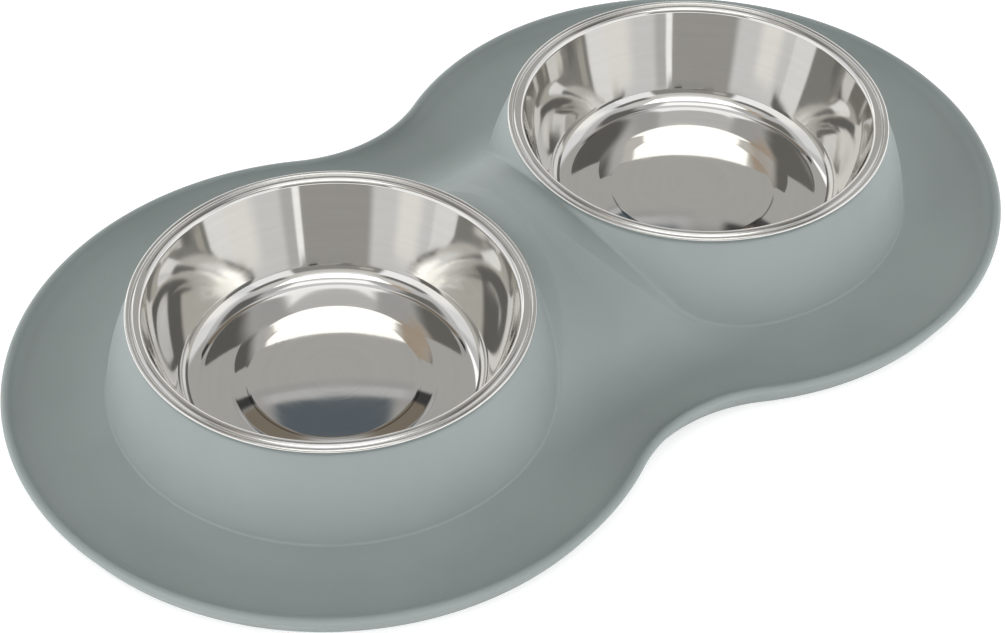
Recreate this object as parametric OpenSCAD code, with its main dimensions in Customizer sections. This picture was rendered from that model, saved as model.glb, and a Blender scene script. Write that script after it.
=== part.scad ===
// Double pet bowl: a figure-eight silicone tray with two raised collars, and two steel bowls
// that hang in the collars by their rolled rims. Millimetres, +Z up. The origin lies on the
// ground, midway between the bowls, which stand along X.

/* [Bowls] */
// Distance between the centres of the two bowls
bowl_pitch = 160; // [150:1:180]
// Outer diameter of a bowl over its rolled edge
rim_d = 134.5; // [120:0.5:138]
// Height of the top of the rim above the ground
rim_h = 38.5; // [37:0.5:50]
// Width of the rim from its outer edge to the wall
rim_w = 5.6; // [5:0.1:8]
// Thickness of the steel sheet
sheet_t = 0.7; // [0.5:0.1:1]
// Radius of the rolled edge
bead_r = 0.95; // [0.8:0.05:1.2]
// Depth of the flat of the rim below its rolled edge
rim_dip = 0.6; // [0.2:0.1:0.9]
// Radius of the shoulder between the rim and the wall
shoulder_r = 2.2; // [1.6:0.1:2.6]
// Depth of the bowl from its rim to its floor
bowl_depth = 34.1; // [28:0.1:36]
// Lean of the bowl's wall from the vertical, in degrees
wall_lean = 19; // [15:0.1:28]
// Radius of the corner between the wall and the floor
corner_r = 8.5; // [5:0.5:10]
// Radius of the raised disc in the middle of the floor
disc_r = 29.5; // [20:0.5:32]
// Height of the raised disc
disc_h = 0.8; // [0.4:0.1:1.5]

/* [Collars] */
// Gap between a bowl's wall and the collar that it hangs in
bowl_gap = 0.6; // [0.4:0.1:1]
// Gap between the rolled edge and the collar's top
seat_gap = 0.3; // [0.2:0.1:0.6]
// How far the rim stands out over the collar's top
rim_overhang = 0.5; // [0.3:0.1:2]
// Radius that rounds the collar's top edge
collar_edge_r = 1; // [0.5:0.1:1.5]
// How much wider the collar is at its foot than at its top
collar_flare = 9.1; // [7:0.1:12]
// Lean of the collar's side from the vertical at its top, in degrees
collar_lean = 29; // [24:1:34]
// Radius of the hollow at the foot of the collar
foot_fillet_r = 1.5; // [1:0.5:3]
// Thickness of the collar's wall and of the ridge
mat_t = 3; // [2:0.25:3.5]

/* [Tray] */
// Height of the tray's floor above the ground
floor_h = 3.4; // [2.5:0.1:5]
// Width of the tray from the foot of a collar to its edge
tray_w = 34.6; // [30:0.2:45]
// Radius of the hollow edge at the waist
waist_r = 55; // [40:1:70]
// Height of the lip above the tray's floor
lip_rise = 5.2; // [4.6:0.1:7]
// Radius that rounds the lip's crest
lip_r = 1.6; // [1.2:0.1:2]
// How far the lip leans out over its base
lip_lean = 3.6; // [2:0.1:5]
// Radius of the hollow inside the lip
gutter_r = 6; // [5:0.5:7]
// Steepest slope inside the lip, in degrees
gutter_slope = 60; // [55:1:64]
// Slope at which the floor starts to rise to the lip, in degrees
dish_slope = 9; // [7:0.5:12]

/* [Ridge] */
// Depth of the top of the ridge below the top of a collar
ridge_drop = 2; // [1:0.5:8]
// Radius of the ridge's arch, seen along the line through the bowls
ridge_r = 72; // [60:1:90]
// Radius of the hollow at the foot of the ridge
ridge_fillet_r = 30; // [20:1:40]

/* [Hidden] */
$fn = 96;
// Steps in each arc of an outline
arc_steps = 12;
// How far a cut runs on past the face that it opens
cut = 1;

// Bowl, from the rolled edge inwards
rim_r = rim_d / 2;
bead_x = rim_r - bead_r;
bead_z = rim_h - bead_r;
flange_z = rim_h - rim_dip;
wall_x = rim_r - rim_w;
shoulder_x = wall_x + shoulder_r * cos(wall_lean);
shoulder_z = rim_h - shoulder_r;
shoulder_start = asin(1 - rim_dip / shoulder_r);
wall_top_z = shoulder_z + shoulder_r * sin(wall_lean);
bowl_floor_z = rim_h - bowl_depth;
corner_z = bowl_floor_z + corner_r;
wall_low_z = corner_z - corner_r * sin(wall_lean);
wall_low_x = wall_x - (wall_top_z - wall_low_z) * tan(wall_lean);
corner_x = wall_low_x - corner_r * cos(wall_lean);
disc_z = bowl_floor_z + disc_h;

// Collar, fitted round the bowl
half_pitch = bowl_pitch / 2;
collar_top_z = rim_h - 2 * bead_r - seat_gap;
collar_top_r = rim_r - rim_overhang;
collar_hole_r = wall_x + sheet_t + bowl_gap;
edge_x = collar_top_r - collar_edge_r;
edge_z = collar_top_z - collar_edge_r;
foot_r = collar_top_r + collar_flare;
foot_z = floor_h + foot_fillet_r;

// The collar's side is an arc from its foot to its rounded top edge
side_in = foot_r - edge_x - collar_edge_r * cos(collar_lean);
side_up = edge_z + collar_edge_r * sin(collar_lean) - foot_z;
side_tilt = atan(side_in / side_up);
foot_lean = 2 * side_tilt - collar_lean;
side_r = norm([side_in, side_up]) / 2 / sin(collar_lean - side_tilt);
side_x = foot_r - side_r * cos(foot_lean);
side_z = foot_z - side_r * sin(foot_lean);

// Tray, with its lip measured in from the outer edge
lobe_r = foot_r + tray_w;
waist_y = sqrt(pow(lobe_r + waist_r, 2) - pow(half_pitch, 2));
waist_angle = atan(waist_y / half_pitch);
crest_z = floor_h + lip_rise - lip_r;
base_line = [lip_lean - lip_r, -crest_z];
base_angle = atan2(base_line[1], base_line[0]) + 360 - acos(lip_r / norm(base_line));
gutter_d = lip_r + (lip_r + gutter_r) * sin(gutter_slope);
gutter_z = crest_z + (lip_r + gutter_r) * cos(gutter_slope);
dish_d = gutter_d - gutter_r * sin(dish_slope);
dish_r = (gutter_z - gutter_r * cos(dish_slope) - floor_h) / (1 - cos(dish_slope));
flat_d = dish_d + dish_r * sin(dish_slope);
// The flat floor runs in under the collars, and at the waist under the ridge
lobe_floor_d = lobe_r - foot_r + mat_t;
waist_floor_d = lobe_floor_d + mat_t + foot_fillet_r;

// Ridge between the collars
ridge_z = collar_top_z - ridge_drop - ridge_r;
ridge_reach = ridge_r + ridge_fillet_r;
ridge_foot_z = floor_h + ridge_fillet_r;
ridge_foot_y = sqrt(pow(ridge_reach, 2) - pow(ridge_foot_z - ridge_z, 2));
ridge_turn = asin(ridge_foot_y / ridge_reach);
ridge_l = bowl_pitch - foot_r / 1.5;
// The hollow under the ridge ends where it has come down to this height
void_end_z = 2;
void_turn = acos((ridge_foot_z - void_end_z) / (ridge_fillet_r + mat_t));

// Points along an arc, from one angle to another
function arc(centre, r, from, to, steps = arc_steps) =
    [for (i = [0:steps]) let (a = from + (to - from) * i / steps) centre + r * [cos(a), sin(a)]];

function backwards(points) = [for (i = [len(points) - 1:-1:0]) points[i]];

// One face of the bowl from its rim to its middle: the upper face where t is 0
function bowl_line(t) = concat(
    [[bead_x, flange_z - t]],
    arc([shoulder_x, shoulder_z], shoulder_r - t, shoulder_start, 180 - wall_lean),
    arc([corner_x, corner_z], corner_r + t, -wall_lean, -90),
    [[disc_r + disc_h, bowl_floor_z - t], [disc_r, disc_z - t], [0, disc_z - t]]);

// A bowl: one pressed sheet with a rolled edge
module bowl() {
    rotate_extrude() union() {
        polygon(concat(bowl_line(0), backwards(bowl_line(sheet_t))));
        translate([bead_x, bead_z]) circle(bead_r);
    }
}

// The lip and the dished floor inside it, as distances in from the edge and heights
function lip_line(floor_d) = concat(
    [[lip_lean, 0]],
    arc([lip_r, crest_z], lip_r, base_angle, 90 - gutter_slope, 2 * arc_steps),
    arc([gutter_d, gutter_z], gutter_r, 270 - gutter_slope, 270 - dish_slope),
    arc([flat_d, floor_h + dish_r], dish_r, 270 - dish_slope, 270),
    [[floor_d, floor_h], [floor_d, 0]]);

// The tray round the outer side of the right-hand bowl
module tray_lobe() {
    translate([half_pitch, 0, 0])
        rotate_extrude(angle = 360 - 2 * waist_angle, start = waist_angle - 180)
            polygon([for (p = lip_line(lobe_floor_d)) [lobe_r - p[0], p[1]]]);
}

// The tray at the waist, on the near side
module tray_waist() {
    translate([0, -waist_y, 0])
        rotate_extrude(angle = 180 - 2 * waist_angle, start = waist_angle)
            polygon([for (p = lip_line(waist_floor_d)) [waist_r + p[0], p[1]]]);
}

// A collar as a solid block: its bulging side, rounded top edge and hollow foot
module collar_block() {
    rotate_extrude() polygon(concat(
        [[0, 0], [foot_r + foot_fillet_r, 0]],
        arc([foot_r + foot_fillet_r, foot_z], foot_fillet_r, 270, 180),
        arc([side_x, side_z], side_r, foot_lean, collar_lean),
        arc([edge_x, edge_z], collar_edge_r, collar_lean, 90),
        [[0, collar_top_z]]));
}

// The space inside a collar, open at the top for the bowl and at the bottom
module collar_space() {
    inner_side = arc([side_x, side_z], side_r - mat_t, foot_lean, collar_lean);
    inner_top = inner_side[arc_steps];
    rotate_extrude() polygon(concat(
        [[0, -cut], [inner_side[0][0], -cut]],
        inner_side,
        [[collar_hole_r, inner_top[1]], [collar_hole_r, collar_top_z + cut], [0, collar_top_z + cut]]));
}

// A block along the line through the bowls with the outline given across it
module along_x(outline) {
    rotate([90, 0, 90]) linear_extrude(ridge_l, center = true) polygon(outline);
}

// The ridge between the collars, with a hollow foot on each side
module ridge_block() {
    along_x(concat(
        [[-ridge_foot_y, 0], [ridge_foot_y, 0]],
        arc([ridge_foot_y, ridge_foot_z], ridge_fillet_r, 270, 270 - ridge_turn),
        arc([0, ridge_z], ridge_r, 90 - ridge_turn, 90 + ridge_turn, 3 * arc_steps),
        arc([-ridge_foot_y, ridge_foot_z], ridge_fillet_r, 270 + ridge_turn, 270)));
}

// The hollow under the ridge, one wall thickness below it
module ridge_space() {
    flank = arc([ridge_foot_y, ridge_foot_z], ridge_fillet_r + mat_t, 270 - void_turn, 270 - ridge_turn);
    roof = arc([0, ridge_z], ridge_r - mat_t, 90 - ridge_turn, 90 + ridge_turn, 3 * arc_steps);
    along_x(concat(
        [[-flank[0][0], -cut], [flank[0][0], -cut]],
        flank,
        roof,
        [for (p = backwards(flank)) [-p[0], p[1]]]));
}

// The silicone mat: tray, collars and ridge in one moulding, hollow underneath
module mat() {
    color([0.55, 0.6, 0.58]) difference() {
        union() {
            for (turn = [0, 180]) rotate([0, 0, turn]) {
                tray_lobe();
                tray_waist();
                translate([half_pitch, 0, 0]) collar_block();
            }
            ridge_block();
        }
        for (side = [-1, 1]) translate([side * half_pitch, 0, 0]) collar_space();
        ridge_space();
    }
}

module bowl_left() {
    color([0.8, 0.8, 0.78]) translate([-half_pitch, 0, 0]) bowl();
}

module bowl_right() {
    color([0.8, 0.8, 0.78]) translate([half_pitch, 0, 0]) bowl();
}

mat();
bowl_left();
bowl_right();
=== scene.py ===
"""Double pet bowl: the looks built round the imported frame. Lengths below are in millimetres."""
import math

import bmesh
import bpy
import numpy as np
from mathutils import Matrix, Vector


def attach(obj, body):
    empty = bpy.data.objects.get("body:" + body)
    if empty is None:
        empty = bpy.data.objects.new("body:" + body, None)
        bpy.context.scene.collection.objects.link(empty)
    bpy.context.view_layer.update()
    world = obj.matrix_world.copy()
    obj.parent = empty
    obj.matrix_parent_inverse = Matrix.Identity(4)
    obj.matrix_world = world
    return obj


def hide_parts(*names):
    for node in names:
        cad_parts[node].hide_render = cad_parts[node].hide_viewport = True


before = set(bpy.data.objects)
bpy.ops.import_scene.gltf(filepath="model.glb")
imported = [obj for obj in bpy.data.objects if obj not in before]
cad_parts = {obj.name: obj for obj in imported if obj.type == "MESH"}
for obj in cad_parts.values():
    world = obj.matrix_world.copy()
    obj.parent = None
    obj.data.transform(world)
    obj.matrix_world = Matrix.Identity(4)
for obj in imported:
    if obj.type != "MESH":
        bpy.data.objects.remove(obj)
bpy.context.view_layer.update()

MM = 0.001
half_pitch = 80.0
sheet_t = 0.7

# Bowl
bead = (66.3, 37.8, 0.95)
bead_flat = 0.7
shoulder = (63.759, 36.3, 2.2)
shoulder_end = 46.67
flange_z = 37.9
wall_lean = 16.5
floor_z = 4.4
disc_r = 29.5
disc_z = 5.2
disc_foot = 34.5
disc_dome = 1.2
crease_w = 0.6
crease_top = 0.06
crease_foot = 0.09

# Collar
hole_r = 62.95
top_z = 36.3
edge = (65.75, 35.3, 1.0)
foot = (75.85, 4.9)
foot_fillet = 0.8
foot_rise = 1.3
rise_reach = 16.0
rise_run = 14.0
rise_cap = 1.1
collar_lean = 29.0
mat_t = 3.0

# Tray
floor_h = 3.4
lobe_r = 110.45
waist_r = 55.0
lip_top = 8.6
lip_r = 1.6
lip_lean = 3.6
gutter_r = 6.0
gutter_slope = 60.0
dish_slope = 9.0
strip_d = 12.0

# Ridge
ridge_r = 72.0
ridge_top = 34.3
ridge_fillet = 30.0
void_end_z = 2.0

# How finely the mat is divided: rays to its middle, round the waist and round the lobe
middle_rays = 44
waist_rays = 20
lobe_rays = 110

# Points nearer than this are welded
weld = 0.004

# Colours
silicone_tones = ((0.208, 0.238, 0.236, 1), (0.221, 0.253, 0.25, 1))
dust_tone = (0.38, 0.41, 0.40, 1)
steel_tones = ((0.807, 0.799, 0.78, 1), (0.83, 0.823, 0.805, 1))
# Painted shade: the colour of the dark line painted along the crease round each bowl's disc
painted_crease_shade_tone = (0.2, 0.195, 0.18, 1)
floor_tone = (0.78, 0.78, 0.78, 1)

# Where the camera stands and what it looks at
view_azimuth = math.radians(-38.36)
view_elevation = math.radians(43.13)
view_roll = math.radians(0.31)
view_distance = 904.24
view_target = (-22.3, -0.9, 0)


def cosd(a):
    return np.cos(np.radians(a))


def sind(a):
    return np.sin(np.radians(a))


def arc(x, y, r, start, end, steps):
    a = np.linspace(start, end, steps + 1)
    return np.stack([x + r * cosd(a), y + r * sind(a)], 1)


def line(p, q, steps):
    t = np.linspace(0, 1, steps + 1)[:, None]
    return np.array(p) * (1 - t) + np.array(q) * t


def ease(t):
    """A smooth step from 0 to 1."""
    return t * t * (3 - 2 * t)


def new_object(name, points, faces, sharp=40):
    """A smooth-shaded mesh from points in millimetres."""
    mesh = bpy.data.meshes.new(name)
    mesh.from_pydata((np.asarray(points) * MM).tolist(), [], faces)
    mesh.validate()
    bm = bmesh.new()
    bm.from_mesh(mesh)
    bmesh.ops.remove_doubles(bm, verts=bm.verts, dist=weld * MM)
    bmesh.ops.recalc_face_normals(bm, faces=bm.faces)
    bm.to_mesh(mesh)
    bm.free()
    mesh.shade_smooth()
    mesh.set_sharp_from_angle(angle=math.radians(sharp))
    obj = bpy.data.objects.new(name, mesh)
    bpy.context.scene.collection.objects.link(obj)
    return obj


def grid_faces(index, closed):
    """Quads between neighbouring rows of vertex numbers."""
    rows = np.vstack([index, index[:1]]) if closed else index
    a = rows[:-1, :-1].ravel()
    b = rows[1:, :-1].ravel()
    c = rows[1:, 1:].ravel()
    d = rows[:-1, 1:].ravel()
    return np.stack([a, b, c, d], 1).tolist()


# The corner of the floor and the slightly hollow wall above it: radius and leans of each arc
bends = ((8.5, 90.0, 22.5), (276.0, 22.5, wall_lean))
bend_rise = floor_z + sum(r * (sind(a) - sind(b)) for r, a, b in bends)
bend_run = sum(r * (cosd(b) - cosd(a)) for r, a, b in bends)
wall_top = (shoulder[0] - shoulder[2] * cosd(wall_lean), shoulder[1] + shoulder[2] * sind(wall_lean))
corner_x = wall_top[0] - (wall_top[1] - bend_rise) * math.tan(math.radians(wall_lean)) - bend_run


def bend_points(t):
    """The inner face moved outwards by t, from the floor up to the wall."""
    points = []
    x, z = corner_x, floor_z
    for r, low, high in bends:
        centre = (x - r * cosd(low), z + r * sind(low))
        steps = 34 if low == 90 else 8
        points.append(arc(*centre, r + t, -low, -high, steps)[1:])
        x, z = centre[0] + r * cosd(high), centre[1] - r * sind(high)
    return np.vstack(points)


def bowl_section():
    """The bowl's section, from the middle of its floor over the rim and back below."""
    def offset(t):
        swell = line((0, disc_z - t), (disc_r - crease_w, disc_z - t), 60)
        swell[:, 1] += disc_dome * (1 - (swell[:, 0] / disc_r) ** 2)
        slope_top = (disc_r, disc_z - crease_top - t)
        slope_foot = (disc_foot - crease_w, floor_z + crease_foot - t)
        return np.vstack([
            swell,
            line(slope_top, slope_foot, 8),
            line((disc_foot + crease_w, floor_z - t), (corner_x, floor_z - t), 12),
            bend_points(t),
            arc(*shoulder[:2], shoulder[2] - t, 180 - wall_lean, shoulder_end, 20),
        ])

    inside = offset(0)
    outside = offset(sheet_t)[::-1]
    up = math.degrees(math.asin((flange_z - bead[1]) / bead_flat))
    down = math.degrees(math.asin((flange_z - sheet_t - bead[1]) / bead_flat))
    roll = arc(bead[0], 0, bead[2], 180 - up, -180 - down, 28)
    roll[:, 1] = bead[1] + roll[:, 1] * bead_flat / bead[2]
    return np.vstack([inside, roll, outside])


def lathe(name, section, centre_x, turns=360):
    """The section turned about an upright axis through centre_x."""
    keep = section[1:-1]
    a = np.linspace(0, 2 * math.pi, turns, endpoint=False)
    x = centre_x + np.outer(np.cos(a), keep[:, 0])
    y = np.outer(np.sin(a), keep[:, 0])
    z = np.broadcast_to(keep[:, 1], x.shape)
    points = np.stack([x, y, z], 2).reshape(-1, 3)
    index = np.arange(len(points)).reshape(turns, len(keep))
    faces = grid_faces(index, True)
    ends = len(points)
    points = np.vstack([points, [[centre_x, 0, section[0, 1]], [centre_x, 0, section[-1, 1]]]])
    for i in range(turns):
        j = (i + 1) % turns
        faces.append([ends, int(index[j, 0]), int(index[i, 0])])
        faces.append([ends + 1, int(index[i, -1]), int(index[j, -1])])
    return new_object(name, points, faces)


# Arcs that follow from the sizes
side_in = foot[0] - edge[0] - edge[2] * cosd(collar_lean)
side_up = edge[1] + edge[2] * sind(collar_lean) - foot[1]
side_tilt = math.degrees(math.atan(side_in / side_up))
foot_lean = 2 * side_tilt - collar_lean
side_r = math.hypot(side_in, side_up) / 2 / sind(collar_lean - side_tilt)
side_x = foot[0] - side_r * cosd(foot_lean)
side_z = foot[1] - side_r * sind(foot_lean)
waist_y = math.sqrt((lobe_r + waist_r) ** 2 - half_pitch ** 2)
waist_angle = math.degrees(math.atan(waist_y / half_pitch))
crest_z = lip_top - lip_r
gutter_d = lip_r + (lip_r + gutter_r) * sind(gutter_slope)
gutter_z = crest_z + (lip_r + gutter_r) * cosd(gutter_slope)
dish_d = gutter_d - gutter_r * sind(dish_slope)
dish_r = (gutter_z - gutter_r * cosd(dish_slope) - floor_h) / (1 - cosd(dish_slope))
flat_d = dish_d + dish_r * sind(dish_slope)
ridge_z = ridge_top - ridge_r
ridge_foot_z = floor_h + ridge_fillet
ridge_foot_y = math.sqrt((ridge_r + ridge_fillet) ** 2 - (ridge_foot_z - ridge_z) ** 2)
ridge_turn = math.degrees(math.asin(ridge_foot_y / (ridge_r + ridge_fillet)))


def inset(x, y):
    """Distance in from the tray's outline, on the right-hand half."""
    y = np.abs(y)
    beside_waist = half_pitch * (y - waist_y) + waist_y * x < 0
    from_waist = np.hypot(x, y - waist_y) - waist_r
    from_lobe = lobe_r - np.hypot(x - half_pitch, y)
    return np.where(beside_waist, from_waist, from_lobe)


def ground(x, y):
    """Height of the tray's floor and of the ridge."""
    d = np.clip(inset(x, y), dish_d, flat_d)
    dish = dish_r - np.sqrt(dish_r ** 2 - (flat_d - d) ** 2)
    y = np.abs(y)
    arch_y = ridge_r * sind(ridge_turn)
    arch = ridge_z + np.sqrt(np.maximum(ridge_r ** 2 - np.minimum(y, arch_y) ** 2, 0))
    to_foot = np.clip(ridge_foot_y - y, 0, ridge_fillet)
    hollow = ridge_foot_z - np.sqrt(ridge_fillet ** 2 - to_foot ** 2)
    # The ridge ends inside the collar's hole, and the floor rises a little towards the collar's foot
    ridge = (np.where(y < arch_y, arch, hollow) - floor_h) * np.clip((half_pitch - x) / 10 - 1.5, 0, 1)
    beside = (foot[0] + rise_reach - np.hypot(x - half_pitch, y)) / rise_run
    return floor_h + dish + ridge + foot_rise * np.clip(beside, 0, rise_cap) ** 2


def round_union(a, b, r):
    """Two distances as one, with a fillet of radius r where they meet."""
    return np.maximum(np.minimum(a, b), r) - np.hypot(np.maximum(r - a, 0), np.maximum(r - b, 0))


def round_common(a, b, r):
    """What two distances have in common, with its edge rounded to radius r."""
    return np.minimum(np.maximum(a, b), -r) + np.hypot(np.maximum(r + a, 0), np.maximum(r + b, 0))


def mat_top(x, y):
    """Height of the mat's upper face, where the collar blends into the tray and the ridge."""
    step = 0.05
    floor = ground(x, y)
    gx = (ground(x + step, y) - ground(x - step, y)) / (2 * step)
    gy = (ground(x, y + step) - ground(x, y - step)) / (2 * step)
    steep = np.sqrt(1 + gx ** 2 + gy ** 2)
    r = np.hypot(x - half_pitch, y)
    low = np.full_like(x, -1.0)
    high = np.full_like(x, 60.0)
    for _ in range(44):
        z = (low + high) / 2
        side = np.hypot(r - side_x, z - side_z) - side_r
        collar = round_common(side, z - top_z, edge[2])
        out = round_union(collar, (z - floor) / steep, foot_fillet) > 0
        high = np.where(out, z, high)
        low = np.where(out, low, z)
    return (low + high) / 2


def mat_void(x, y):
    """Height of the hollow under the ridge."""
    y = np.abs(y)
    roof = ridge_z + np.sqrt(np.maximum((ridge_r - mat_t) ** 2 - y ** 2, 0))
    wide = ridge_fillet + mat_t
    flank = ridge_foot_z - np.sqrt(wide ** 2 - np.clip(ridge_foot_y - y, 0, wide) ** 2)
    roof = np.where(y < (ridge_r - mat_t) * sind(ridge_turn), roof, flank)
    end = ridge_foot_y - math.sqrt(wide ** 2 - (ridge_foot_z - void_end_z) ** 2)
    t = np.clip(end + 0.5 - y, 0, 1)
    return np.where(x < half_pitch, roof * ease(t), 0)


def mat_rays():
    """Directions round the right-hand bowl, each with the point where it meets the middle or the lip."""
    reach = waist_y - waist_r - strip_d
    end_y = np.linspace(0, reach, middle_rays)
    rays = [(math.degrees(math.atan2(y, half_pitch)), (0.0, y), None) for y in end_y[:-1]]
    first = math.degrees(math.atan2(reach, half_pitch))
    swing = 90 - waist_angle
    for b in np.linspace(0, swing, waist_rays)[:-1]:
        inward = np.array([sind(b), -cosd(b)])
        at = np.array([0, waist_y]) + (waist_r + strip_d) * inward
        rays.append((first + (waist_angle - first) * b / swing, tuple(at), inward))
    for a in np.linspace(waist_angle, 180, lobe_rays):
        out = np.array([-cosd(a), sind(a)])
        at = np.array([half_pitch, 0]) + (lobe_r - strip_d) * out
        rays.append((a, tuple(at), -out))
    back = []
    for a, at, inward in rays[1:-1]:
        mirrored = None if inward is None else np.array([inward[0], -inward[1]])
        back.append((-a, (at[0], -at[1]), mirrored))
    return rays + back[::-1]


def mat_path(rays, radii, floor_part):
    """Plan positions along each ray: at the given radii, then evenly to its end."""
    xs, ys = [], []
    for a, at, _ in rays:
        end = math.hypot(at[0] - half_pitch, at[1])
        end_a = math.degrees(math.atan2(at[1], half_pitch - at[0]))
        turn = (end_a - a + 180) % 360 - 180
        r = np.concatenate([radii, radii[-1] + (end - radii[-1]) * floor_part])
        t = np.clip((r - radii[-1]) / (end - radii[-1]), 0, 1)
        b = a + turn * ease(t)
        xs.append(half_pitch - r * cosd(b))
        ys.append(r * sind(b))
    xs, ys = np.array(xs), np.array(ys)
    for i, (_, at, _) in enumerate(rays):
        xs[i, -1], ys[i, -1] = at
    return xs, ys


def lip_section():
    """From the tray's floor through the gutter and over the lip to its foot: inset and height."""
    base = (lip_lean - lip_r, -crest_z)
    base_angle = math.degrees(math.atan2(base[1], base[0])) + 360
    base_angle -= math.degrees(math.acos(lip_r / math.hypot(*base)))
    dish_start = 270 - math.degrees(math.asin((flat_d - strip_d) / dish_r))
    crest = arc(lip_r, crest_z, lip_r, 90 - gutter_slope, base_angle, 22)
    return np.vstack([
        arc(flat_d, floor_h + dish_r, dish_r, dish_start, 270 - dish_slope, 5)[1:],
        arc(gutter_d, gutter_z, gutter_r, 270 - dish_slope, 270 - gutter_slope, 14)[1:],
        crest[1:],
        line(crest[-1], (lip_lean, 0), 6)[1:],
        [(lip_lean + 4, 0)],
    ])


def build_mat():
    """The mat: its upper face, its lip and its underside, mirrored to both halves."""
    rays = mat_rays()
    rim = arc(hole_r + 0.3, top_z - 0.3, 0.3, 180, 90, 3)
    flat = np.linspace(hole_r + 0.3, edge[0], 4)[1:]
    rounded = edge[0] + edge[2] * cosd(np.linspace(90, collar_lean, 9)[1:])
    side = side_x + side_r * cosd(np.linspace(collar_lean, foot_lean, 61)[1:])
    hollow = np.linspace(foot[0], foot[0] + foot_fillet + 0.4, 15)[1:]
    radii = np.concatenate([rim[:, 0], flat, rounded, side, hollow])
    far = np.linspace(0, 1, 37)[1:]
    x, y = mat_path(rays, radii, far)
    z = mat_top(x, y)
    z[:, :4] = rim[:, 1]
    z[:, 4:7] = top_z
    top = np.stack([x, y, z], 2)

    lips = [i for i, ray in enumerate(rays) if ray[2] is not None]
    start = next(k for k in range(len(lips)) if lips[k] - lips[k - 1] != 1)
    lips = lips[start:] + lips[:start]
    section = lip_section()
    strip = []
    for i in lips:
        _, at, inward = rays[i]
        edge_at = np.array(at) - inward * strip_d
        plan = edge_at + section[:, :1] * inward
        strip.append(np.hstack([plan, section[:, 1:]]))
    strip = np.array(strip)

    inner = arc(side_x, side_z, side_r - mat_t, foot_lean, collar_lean, 26)
    shelf_z = inner[-1, 1]
    shelf = np.array([(hole_r, shelf_z + 0.3), (hole_r, shelf_z), (hole_r + 0.8, shelf_z)])
    rest = [inner[0, 0], inner[0, 0] + 0.6, 75, 77, 78.75]
    low_r = np.concatenate([shelf[:, 0], inner[::-1, 0], rest])
    low_z = np.concatenate([shelf[:, 1], inner[::-1, 1], np.zeros(len(rest))])
    x, y = mat_path(rays, low_r, np.linspace(0, 1, 19)[1:])
    z = np.zeros_like(x)
    z[:, :len(low_z)] = low_z
    z = np.maximum(z, mat_void(x, y))
    z[:, :3] = shelf[:, 1]
    under = np.stack([x, y, z], 2)[:, ::-1]

    points = []
    index = []
    for sheet in (top, strip, under):
        count = sheet.shape[0] * sheet.shape[1]
        index.append(sum(len(p) for p in points) + np.arange(count).reshape(sheet.shape[:2]))
        points.append(sheet.reshape(-1, 3))
    points = np.vstack(points)
    top_i, strip_i, under_i = index
    faces = grid_faces(top_i, True) + grid_faces(under_i, True)
    faces += grid_faces(np.hstack([under_i[:, -1:], top_i[:, :1]]), True)
    faces += grid_faces(np.hstack([top_i[lips, -1:], strip_i, under_i[lips, :1]]), False)
    other = points * [-1, 1, 1]
    flipped = (np.array(faces) + len(points))[:, ::-1].tolist()
    return new_object("mat_skin", np.vstack([points, other]), faces + flipped, 50)


def nodes_of(name):
    """A new material with its node tree and its shader."""
    mat = bpy.data.materials.new(name)
    mat.use_nodes = True
    tree = mat.node_tree
    shader = tree.nodes["Principled BSDF"]
    return mat, tree, shader


class Net:
    """Short calls that add shader nodes to one tree."""
    def __init__(self, tree):
        self.tree = tree

    def add(self, kind, **settings):
        node = self.tree.nodes.new(kind)
        for key, value in settings.items():
            setattr(node, key, value)
        return node

    def put(self, socket, value):
        if hasattr(value, "is_linked"):
            self.tree.links.new(value, socket)
        else:
            socket.default_value = value

    def math(self, operation, *values):
        node = self.add("ShaderNodeMath", operation=operation)
        for i, value in enumerate(values):
            self.put(node.inputs[i], value)
        return node.outputs[0]

    def ramp(self, value, low, high, to_low=0.0, to_high=1.0):
        """A smooth step of the value from low to high."""
        node = self.add("ShaderNodeMapRange", interpolation_type="SMOOTHSTEP")
        for i, v in enumerate((value, low, high, to_low, to_high)):
            self.put(node.inputs[i], v)
        return node.outputs[0]

    def mix(self, factor, a, b):
        node = self.add("ShaderNodeMix", data_type="RGBA")
        self.put(node.inputs[0], factor)
        self.put(node.inputs[6], a)
        self.put(node.inputs[7], b)
        return node.outputs[2]

    def vector(self, x, y, z):
        node = self.add("ShaderNodeCombineXYZ")
        for i, v in enumerate((x, y, z)):
            self.put(node.inputs[i], v)
        return node.outputs[0]

    def noise(self, vector, scale, detail=2.0, roughness=0.5):
        node = self.add("ShaderNodeTexNoise")
        self.put(node.inputs["Vector"], vector)
        node.inputs["Scale"].default_value = scale
        node.inputs["Detail"].default_value = detail
        node.inputs["Roughness"].default_value = roughness
        return node.outputs["Fac"]

    def bump(self, height, distance, strength=1.0, normal=None):
        node = self.add("ShaderNodeBump")
        node.inputs["Strength"].default_value = strength
        node.inputs["Distance"].default_value = distance
        self.put(node.inputs["Height"], height)
        if normal is not None:
            self.put(node.inputs["Normal"], normal)
        return node.outputs[0]


def window(net, value, edges):
    """1 between the two inner edges, falling smoothly to 0 at the outer ones."""
    return net.math("MULTIPLY", net.ramp(value, edges[0], edges[1]), net.ramp(value, edges[3], edges[2]))


def grey(level, warm=0.0):
    """A grey of the given level, a little warmer or colder."""
    return (level * (1 + warm * 0.7), level * (1 + warm * 0.2), level * (1 - warm * 1.3), 1)


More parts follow.
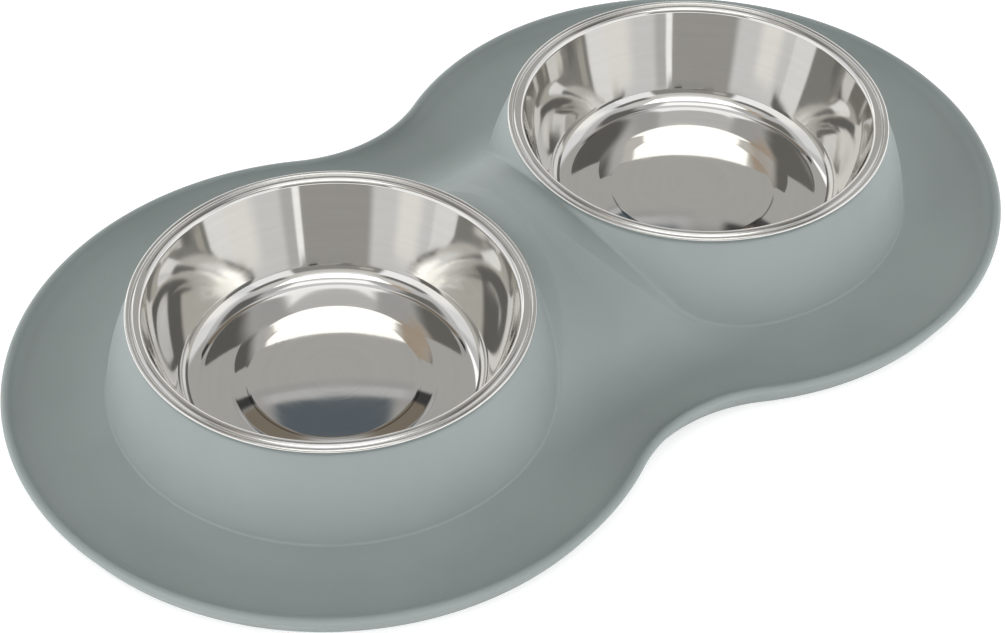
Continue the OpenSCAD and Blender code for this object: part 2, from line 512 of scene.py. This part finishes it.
def silicone():
    """Matt moulded silicone: soft clouds of tone, a fine grain and a few pale specks."""
    mat, tree, shader = nodes_of("silicone_finish")
    net = Net(tree)
    place = net.add("ShaderNodeTexCoord").outputs["Object"]
    cloud = net.noise(place, 22, 3, 0.55)
    grain = net.noise(place, 2600, 3, 0.6)
    specks = net.noise(place, 900, 2, 0.5)
    tone = net.mix(net.ramp(cloud, 0.3, 0.7), *silicone_tones)
    dust = net.math("MULTIPLY", net.ramp(specks, 0.66, 0.8), 0.16)
    tone = net.mix(dust, tone, dust_tone)
    net.put(shader.inputs["Base Color"], tone)
    rough = net.ramp(net.noise(place, 60, 3), 0.25, 0.75, 0.44, 0.54)
    net.put(shader.inputs["Roughness"], rough)
    shader.inputs["Specular IOR Level"].default_value = 0.45
    soft = net.bump(net.noise(place, 95, 2), 0.00006, 0.6)
    net.put(shader.inputs["Normal"], net.bump(grain, 0.00002, 0.6, soft))
    return mat


def steel():
    """Polished steel, brushed round the bowl, a little duller on the rolled rim, with painted shade: a
    dark line along the disc's crease on its front half.
    """
    mat, tree, shader = nodes_of("steel_finish")
    net = Net(tree)
    place = net.add("ShaderNodeTexCoord").outputs["Object"]
    parts = net.add("ShaderNodeSeparateXYZ")
    net.put(parts.inputs[0], place)
    middle = net.math("MULTIPLY", net.math("SIGN", parts.outputs[0]), half_pitch * MM)
    x = net.math("SUBTRACT", parts.outputs[0], middle)
    y = parts.outputs[1]
    z = parts.outputs[2]
    r = net.math("SQRT", net.math("ADD", net.math("MULTIPLY", x, x), net.math("MULTIPLY", y, y)))
    along = net.math("ADD", r, z)

    def brushed(around, across, detail):
        fine = net.vector(net.math("MULTIPLY", x, around), net.math("MULTIPLY", y, around),
                          net.math("MULTIPLY", along, across))
        return net.noise(fine, 1.0, detail, 0.6)

    wide = brushed(30, 420, 3)
    thin = brushed(70, 2300, 3)
    smear = net.noise(place, 45, 3)
    tone = net.mix(net.ramp(wide, 0.3, 0.7), *steel_tones)

    # Painted shade: a dark line painted along the pressed crease round the disc, on its front half only
    painted_crease_shade = window(net, r, (29.1 * MM, 29.4 * MM, 29.6 * MM, 30 * MM))
    painted_crease_shade = net.math("MULTIPLY", painted_crease_shade, net.ramp(z, 7 * MM, 6.5 * MM))
    front = net.math("ADD", net.math("MULTIPLY", x, -0.62), net.math("MULTIPLY", y, -0.784))
    painted_crease_shade = net.math("MULTIPLY", painted_crease_shade, net.ramp(front, 4 * MM, 9 * MM))
    tone = net.mix(net.math("MULTIPLY", painted_crease_shade, 0.7), tone, painted_crease_shade_tone)
    net.put(shader.inputs["Base Color"], tone)

    polish = net.ramp(thin, 0.3, 0.7, 0.03, 0.055)
    rough = net.math("ADD", polish, net.ramp(smear, 0.4, 0.75, 0.0, 0.025))
    rim = net.ramp(r, 63.6 * MM, 64.6 * MM, 0.0, 0.09)
    net.put(shader.inputs["Roughness"], net.math("ADD", rough, rim))
    shader.inputs["Metallic"].default_value = 1.0
    shader.inputs["Anisotropic"].default_value = 0.6
    shader.inputs["Anisotropic Rotation"].default_value = 0.25
    tangent = net.add("ShaderNodeTangent", direction_type="RADIAL", axis="Z")
    net.put(shader.inputs["Tangent"], tangent.outputs[0])
    shape = net.bump(net.noise(place, 38, 2), 0.00008, 0.3)
    lines = net.bump(wide, 0.000003, 0.1, shape)
    net.put(shader.inputs["Normal"], net.bump(thin, 0.000002, 0.4, lines))
    return mat


skin = build_mat()
skin.data.materials.append(silicone())
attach(skin, "tray")
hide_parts("mat")

metal = steel()
section = bowl_section()
for side, body, node in ((-1, "left_bowl", "bowl_left"), (1, "right_bowl", "bowl_right")):
    bowl = lathe(node + "_skin", section, side * half_pitch)
    bowl.data.materials.append(metal)
    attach(bowl, body)
    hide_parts(node)

# Floor: pale, and white where the camera or a reflection sees it
floor_reach = 20
corners = [(-1, -1), (1, -1), (1, 1), (-1, 1)]
mesh = bpy.data.meshes.new("ground")
mesh.from_pydata([(x * floor_reach, y * floor_reach, 0) for x, y in corners], [], [(0, 1, 2, 3)])
table = bpy.data.objects.new("ground", mesh)
bpy.context.scene.collection.objects.link(table)
mat, tree, shader = nodes_of("ground_finish")
shader.inputs["Base Color"].default_value = floor_tone
shader.inputs["Roughness"].default_value = 0.9
shader.inputs["Specular IOR Level"].default_value = 0.0
shader.inputs["Emission Color"].default_value = (1, 1, 1, 1)
net = Net(tree)
rays = net.add("ShaderNodeLightPath").outputs
mirrored = net.math("MAXIMUM", rays["Is Glossy Ray"], rays["Is Transmission Ray"])
seen = net.math("MAXIMUM", rays["Is Camera Ray"], mirrored)
net.put(shader.inputs["Emission Strength"], net.math("MULTIPLY", seen, 0.38))
mesh.materials.append(mat)

# World: a pale studio with soft boxes and dark panels round it
world = bpy.data.worlds.new("studio")
bpy.context.scene.world = world
world.use_nodes = True
net = Net(world.node_tree)
look = net.add("ShaderNodeSeparateXYZ")
net.put(look.inputs[0], net.add("ShaderNodeTexCoord").outputs["Generated"])
dx, dy, dz = look.outputs
turn_cos = math.cos(view_azimuth)
turn_sin = math.sin(view_azimuth)
side = net.math("ADD", net.math("MULTIPLY", dx, turn_cos), net.math("MULTIPLY", dy, turn_sin))
ahead = net.math("SUBTRACT", net.math("MULTIPLY", dy, turn_cos), net.math("MULTIPLY", dx, turn_sin))
height = net.math("DEGREES", net.math("ARCSINE", dz))
far_angle = net.math("DEGREES", net.math("ARCTAN2", side, ahead))
near_angle = net.math("DEGREES", net.math("ARCTAN2", side, net.math("MULTIPLY", ahead, -1.0)))
tilt = net.math("DEGREES", net.math("ARCTAN2", ahead, dz))
side_tilt = net.math("DEGREES", net.math("ARCTAN2", side, dz))


def patch(colour, shade, angle, edges, heights, strength=1.0):
    """Lay a shade over a soft-edged part of the sky."""
    part = net.math("MULTIPLY", window(net, angle, edges), window(net, height, heights))
    part = net.math("MULTIPLY", part, strength)
    return net.mix(part, colour, shade)


# Each patch: its shade, the angle it is placed by, the edges of that angle and those of its height
around = (-181, -180, 180, 181)
patches = (
    # Pale horizon, and above it a belt of soft boxes with a dark panel between them
    (grey(1.1), far_angle, around, (-3, 0, 11, 15)),
    (grey(0.8, -0.01), far_angle, around, (12, 16, 44, 48)),
    (grey(0.98, 0.02), far_angle, (-138, -124, -98, -78), (12, 16, 38, 43)),
    (grey(0.58), far_angle, (-60, -50, -43, -40), (12, 16, 44, 48)),
    (grey(0.41, 0.03), far_angle, (-39, -36, 41, 52), (12, 16, 46, 50)),
    (grey(1.25), far_angle, (-42, -39.5, -34.5, -32), (12, 16, 42, 46)),
    (grey(1.0, 0.02), far_angle, (70, 84, 96, 112), (12, 16, 38, 43)),
    # Towards the camera, from the darkest low down to pale high up
    (grey(0.62, 0.04), near_angle, (-75, -65, 65, 75), (36, 41, 49, 55)),
    (grey(0.66, 0.03), near_angle, (-80, -70, 70, 80), (49, 55, 66, 70)),
    (grey(0.92), near_angle, (-34, -24, 24, 34), (47, 54, 66, 70)),
    (grey(0.27, 0.04), near_angle, (-36, -30, 28, 33), (9, 13, 34, 42)),
    (grey(0.45, 0.06), near_angle, (-28, -25, -19, -15), (19, 23, 29, 34)),
    (grey(0.2, 0.03), near_angle, (-15, -10, -4, 1), (8, 12, 19, 23)),
    (grey(1.0), near_angle, (-62, -58, -36, -31), (12, 16, 38, 44)),
    (grey(0.95), near_angle, (29, 33, 58, 62), (12, 16, 38, 43)),
    # Dark panels on both sides
    (grey(0.17, 0.02), near_angle, (35, 44, 66, 73), (38.5, 40.5, 48, 51)),
    (grey(0.18, 0.02), near_angle, (-82, -74, -44, -32), (39.5, 42, 48, 52)),
    # Beyond the bowls: dim ceiling, dark corners beside it and a dark panel
    (grey(0.34, 0.03), far_angle, (-40, -28, 28, 40), (46, 49, 58, 64)),
    (grey(0.7), far_angle, (-40, -28, 28, 40), (58, 64, 76, 80)),
    (grey(0.13, 0.04), far_angle, (26, 38, 80, 96), (52, 57, 66, 72)),
    (grey(0.16, 0.06), far_angle, (-86, -74, -44, -30), (52, 57, 66, 72)),
    ((0.47, 0.39, 0.31, 1), far_angle, (-116, -104, -86, -74), (60, 65, 72, 78)),
    ((0.2, 0.17, 0.135, 1), far_angle, (-33, -29, 24, 28), (48.5, 50, 60, 64)),
    (grey(0.045), far_angle, (-31, -28, -20, -17.5), (45.4, 46.3, 48, 49.5)),
    (grey(0.05), far_angle, (10.5, 12.5, 23, 28), (46.2, 47.2, 49.5, 50.5)),
    (grey(0.37, 0.02), far_angle, (-17, -15, 6, 8), (45, 46, 56, 58)),
    (grey(0.5), far_angle, (-16, -13, 5, 8), (46.4, 47, 47.9, 48.5)),
    ((0.105, 0.125, 0.143, 1), far_angle, (-14.6, -12.6, 3.6, 5.6), (48, 48.8, 56.5, 58.5)),
    # Dim ceiling
    (grey(0.45), far_angle, around, (68, 72, 92, 93)),
    (grey(0.62), side_tilt, (-14, -11, 11, 14), (64, 70, 92, 93)),
)
sky = grey(0.55)
for shade, angle, edges, heights in patches:
    sky = patch(sky, shade, angle, edges, heights)

# Overhead: a curved bright panel towards the camera and a bright strip
bend = net.math("MULTIPLY", net.math("MULTIPLY", side_tilt, side_tilt), -0.012)
bend = net.math("ADD", tilt, bend)
panel = window(net, bend, (-34, -30, -12.3, -11.5))
sky = patch(sky, grey(1.65, 0.02), side_tilt, (-22.6, -21.6, 21.6, 22.6), (50, 58, 92, 93), panel)
strip = window(net, tilt, (-4, -2.5, 11, 14))
sky = patch(sky, grey(1.2), side_tilt, (-13, -10, 10, 13), (60, 66, 92, 93), strip)
back_light = world.node_tree.nodes["Background"]
net.put(back_light.inputs["Color"], sky)
back_light.inputs["Strength"].default_value = 1.0

# Soft lamps near the horizon, all round
lamp_energies = (1.3, 1.4, 1.45, 1.6, 1.8, 1.25)
lamp_width = math.radians(50)
lamp_lean = math.radians(79)
for i, energy in enumerate(lamp_energies):
    lamp = bpy.data.lights.new("side_lamp_%d" % i, "SUN")
    lamp.energy = energy
    lamp.angle = lamp_width
    holder = bpy.data.objects.new(lamp.name, lamp)
    holder.rotation_euler = (lamp_lean, 0, math.radians(60 * i + 22))
    holder.visible_glossy = False
    bpy.context.scene.collection.objects.link(holder)

# Camera
camera = bpy.data.cameras.new("camera")
eye = bpy.data.objects.new("camera", camera)
bpy.context.scene.collection.objects.link(eye)
level = math.cos(view_elevation)
back = Vector((turn_sin * level, -turn_cos * level, math.sin(view_elevation)))
right = Vector((turn_cos, turn_sin, 0))
up = back.cross(right)
turned_right = right * math.cos(view_roll) + up * math.sin(view_roll)
turned_up = up * math.cos(view_roll) - right * math.sin(view_roll)
spot = Vector(view_target) * MM + back * view_distance * MM
facing = Matrix((turned_right, turned_up, back)).transposed().to_4x4()
eye.matrix_world = Matrix.Translation(spot) @ facing
camera.sensor_width = 36
camera.lens = 93.71
camera.shift_x = 0.0309
camera.shift_y = -0.0006
camera.clip_start = 0.01
bpy.context.scene.camera = eye

bpy.context.scene.view_settings.view_transform = "Standard"
# A look into a bowl meets its walls up to six times
bpy.context.scene.cycles.glossy_bounces = 8
